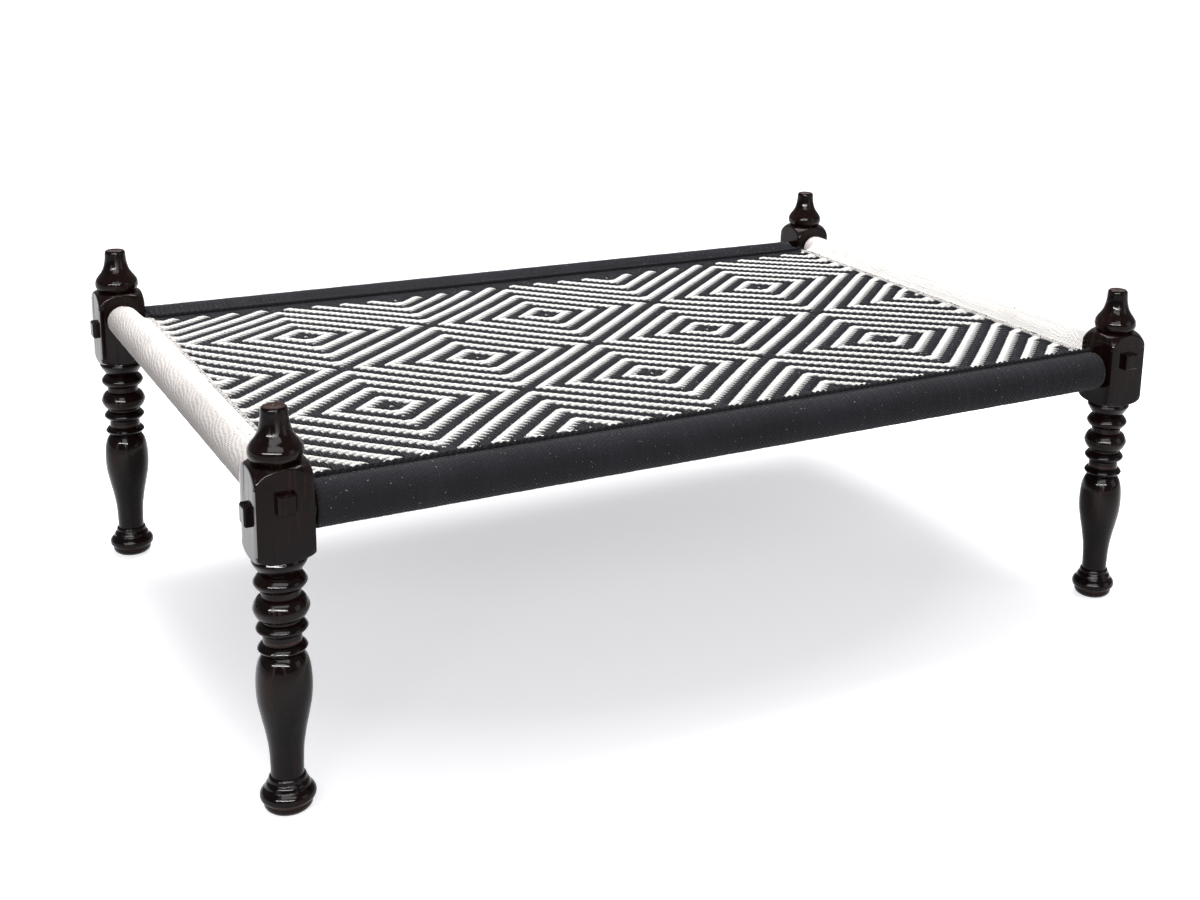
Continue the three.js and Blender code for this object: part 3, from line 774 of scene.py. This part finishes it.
def leg_section(radius, z):
    """One level of a leg: a circle, cut by the blank's four faces where it is larger than they are."""
    h = HALF_BLANK
    if radius <= h * FLAT_SHARE:
        edge = math.pi / 8
    elif radius < h * math.sqrt(2):
        edge = math.acos(h / radius)
    else:
        edge = math.pi / 4
    face = np.linspace(0, edge, FACE_STEPS + 1)
    corner = np.linspace(edge, math.pi / 4, CORNER_STEPS + 1)[1:]
    octant = np.concatenate([face, corner])
    quarter = np.concatenate([octant, (math.pi / 2 - octant[::-1])[1:-1]])
    angle = np.concatenate([quarter + k * math.pi / 2 for k in range(4)])
    if radius < h - ROUND_MARGIN:
        r = np.full_like(angle, radius)
    else:
        c, s = np.abs(np.cos(angle)), np.abs(np.sin(angle))
        square = h / (c ** SQUARE_POWER + s ** SQUARE_POWER) ** (1 / SQUARE_POWER)
        both = np.exp(-radius / SOFT + h / SOFT) + np.exp(-square / SOFT + h / SOFT)
        r = -SOFT * np.log(both) + h
    return np.stack([r * np.cos(angle), r * np.sin(angle), np.full_like(angle, z)], -1)


def leg_surface():
    """A leg's points and faces."""
    rings = [leg_section(radius, z) for radius, z in fine_outline(leg_outline())]
    n = len(rings[0])
    step = np.arange(len(rings) - 1)[:, None] * n
    corner = np.arange(n)[None]
    a, b = step + corner, step + (corner + 1) % n
    return np.concatenate(rings), np.stack([a, b, b + n, a + n], -1).reshape(-1, 4)


def sharpen(mesh):
    """Joins points that lie together, such as those on the axis, and keeps sharp edges sharp."""
    bm = bmesh.new()
    bm.from_mesh(mesh)
    bmesh.ops.remove_doubles(bm, verts=bm.verts, dist=MERGE_DISTANCE)
    for e in bm.edges:
        if len(e.link_faces) == 2 and e.calc_face_angle(0) > math.radians(SHARP_ANGLE):
            e.smooth = False
    bm.to_mesh(mesh)
    bm.free()


leg_mesh = make_mesh("turned_leg", *leg_surface(), WOOD)
sharpen(leg_mesh)
legs = {}
for side_name, side in SIDES:
    for end_name, end in ENDS:
        leg = add_object(f"turned_leg_{side_name}_{end_name}", leg_mesh)
        leg.location = (end * HALF_LENGTH * MM, side * HALF_WIDTH * MM, 0)
        legs[side_name, end_name] = leg

# The rails' wood and pegs are the solids themselves
for name in ("rail_front", "rail_back", "rail_left", "rail_right"):
    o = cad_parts[name]
    o.data.materials.clear()
    o.data.materials.append(WOOD)

# A dark sheet in the weave's middle as painted shade, so that the gaps between the cords show dark and no
# light comes through them
CORE_X, CORE_Y = 566, 378
CORE_COLS, CORE_ROWS = 70, 48
core_x, core_y = np.meshgrid(np.linspace(-CORE_X, CORE_X, CORE_COLS),
                             np.linspace(-CORE_Y, CORE_Y, CORE_ROWS))
core_row, core_col = np.meshgrid(np.arange(CORE_ROWS - 1), np.arange(CORE_COLS - 1), indexing="ij")
q = core_row * CORE_COLS + core_col
core_faces = np.stack([q, q + 1, q + CORE_COLS + 1, q + CORE_COLS], -1).reshape(-1, 4)
core_points = sheet_point(core_x.ravel(), core_y.ravel(), MID_DEPTH)
shade_sheet = make_object("web_core", core_points, core_faces, EDGE_BLACK, uvs=np.zeros((len(core_faces), 4, 2)))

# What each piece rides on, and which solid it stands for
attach(shade_sheet, "root")
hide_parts("woven_web")
for o in white_cords + black_cords:
    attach(o, "root")
    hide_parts("woven_web")
for name, o in wraps.items():
    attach(o, "root")
    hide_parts(f"wrap_{name}")
for name, o in edge_cords.items():
    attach(o, "root")
    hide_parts(f"edge_cord_{name}")
for (side_name, end_name), o in legs.items():
    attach(o, "root")
    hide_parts(f"leg_{side_name}_{end_name}")

# The floor glows by itself as painted light, by the distance from the bed's middle times GLOW_SCALE
FLOOR_HALF = 30
FLOOR_COLOUR, FLOOR_ROUGHNESS, GLOW_COLOUR = (0.93, 0.925, 0.93, 1), 0.75, (0.97, 0.97, 1, 1)
GLOW_NARROW, GLOW_SCALE = (0.72, 1, 1), 0.4
# Painted light: a low glow under the bed as painted shadow, a full glow just outside it
GLOW_STOPS = ((0.152, grey(0.45)), (0.33, grey(1.0)), (0.44, grey(0.55)), (0.58, grey(0.14)),
              (0.72, grey(0.20)), (0.95, grey(0.90)))
SKY_COLOUR, SKY_STRENGTH = (0.97, 0.975, 1, 1), 0.36
# Each lamp's name, place, target, size, watts, colour, and whether it lights more than the gloss
PLAIN, COOL = (1, 1, 1), (0.88, 0.90, 1.0)
LAMPS = (
    ("key", (0.3, 0.9, 3.2), (0.1, 0, 0.3), (2.4, 1.8), 131, PLAIN, True),
    ("front", (-1.5, -2.5, 1.8), (-0.1, -0.2, 0.3), (2.2, 0.1), 20, PLAIN, True),
    ("side", (2.2, -2.4, 1.1), (-0.2, -0.2, 0.25), (1.4, 1.4), 14, COOL, True),
    ("strip", (-1.7, -2.5, 1.5), (-0.1, -0.2, 0.3), (4.0, 0.14), 260, PLAIN, False),
    ("upper", (-0.9, -1.9, 2.1), (-0.1, -0.2, 0.4), (2.4, 0.8), 55, PLAIN, False),
)


def floor_stuff():
    """A pale floor that glows by itself as painted light. Its glow is weaker under the bed, a painted shadow
    there, and in a ring some way out from it.
    """
    m, nt, bsdf = material("floor")
    bsdf.inputs["Base Color"].default_value = FLOOR_COLOUR
    bsdf.inputs["Roughness"].default_value = FLOOR_ROUGHNESS
    bsdf.inputs["Emission Color"].default_value = GLOW_COLOUR
    narrow = node(nt, "ShaderNodeMapping")
    narrow.inputs["Scale"].default_value = GLOW_NARROW
    nt.links.new(node(nt, "ShaderNodeTexCoord").outputs["Object"], narrow.inputs[0])
    away = node(nt, "ShaderNodeVectorMath", operation="LENGTH")
    nt.links.new(narrow.outputs[0], away.inputs[0])
    glow = ramp(nt, math_node(nt, "MULTIPLY", away.outputs["Value"], GLOW_SCALE), GLOW_STOPS)
    nt.links.new(glow, bsdf.inputs["Emission Strength"])
    return m


def add_lamp(name, place, target, size, watts, colour, lights_all):
    light = bpy.data.lights.new(name, "AREA")
    light.shape = "RECTANGLE"
    light.size, light.size_y = size
    light.energy = watts
    light.color = colour
    o = add_object(name, light)
    o.location = place
    o.rotation_euler = (Vector(target) - Vector(place)).to_track_quat("-Z", "Y").to_euler()
    o.visible_diffuse = lights_all


floor_corners = [(x * FLOOR_HALF, y * FLOOR_HALF, 0) for x, y in ((-1, -1), (1, -1), (1, 1), (-1, 1))]
floor = make_object("floor", floor_corners, [(0, 1, 2, 3)], floor_stuff(), smooth=False, scale=1)
floor.visible_diffuse = False

world = bpy.data.worlds.new("world")
scene.world = world
world.use_nodes = True
background = world.node_tree.nodes["Background"]
background.inputs[0].default_value = SKY_COLOUR
background.inputs[1].default_value = SKY_STRENGTH
for lamp in LAMPS:
    add_lamp(*lamp)
scene.view_settings.view_transform = "Standard"
scene.view_settings.look = "None"
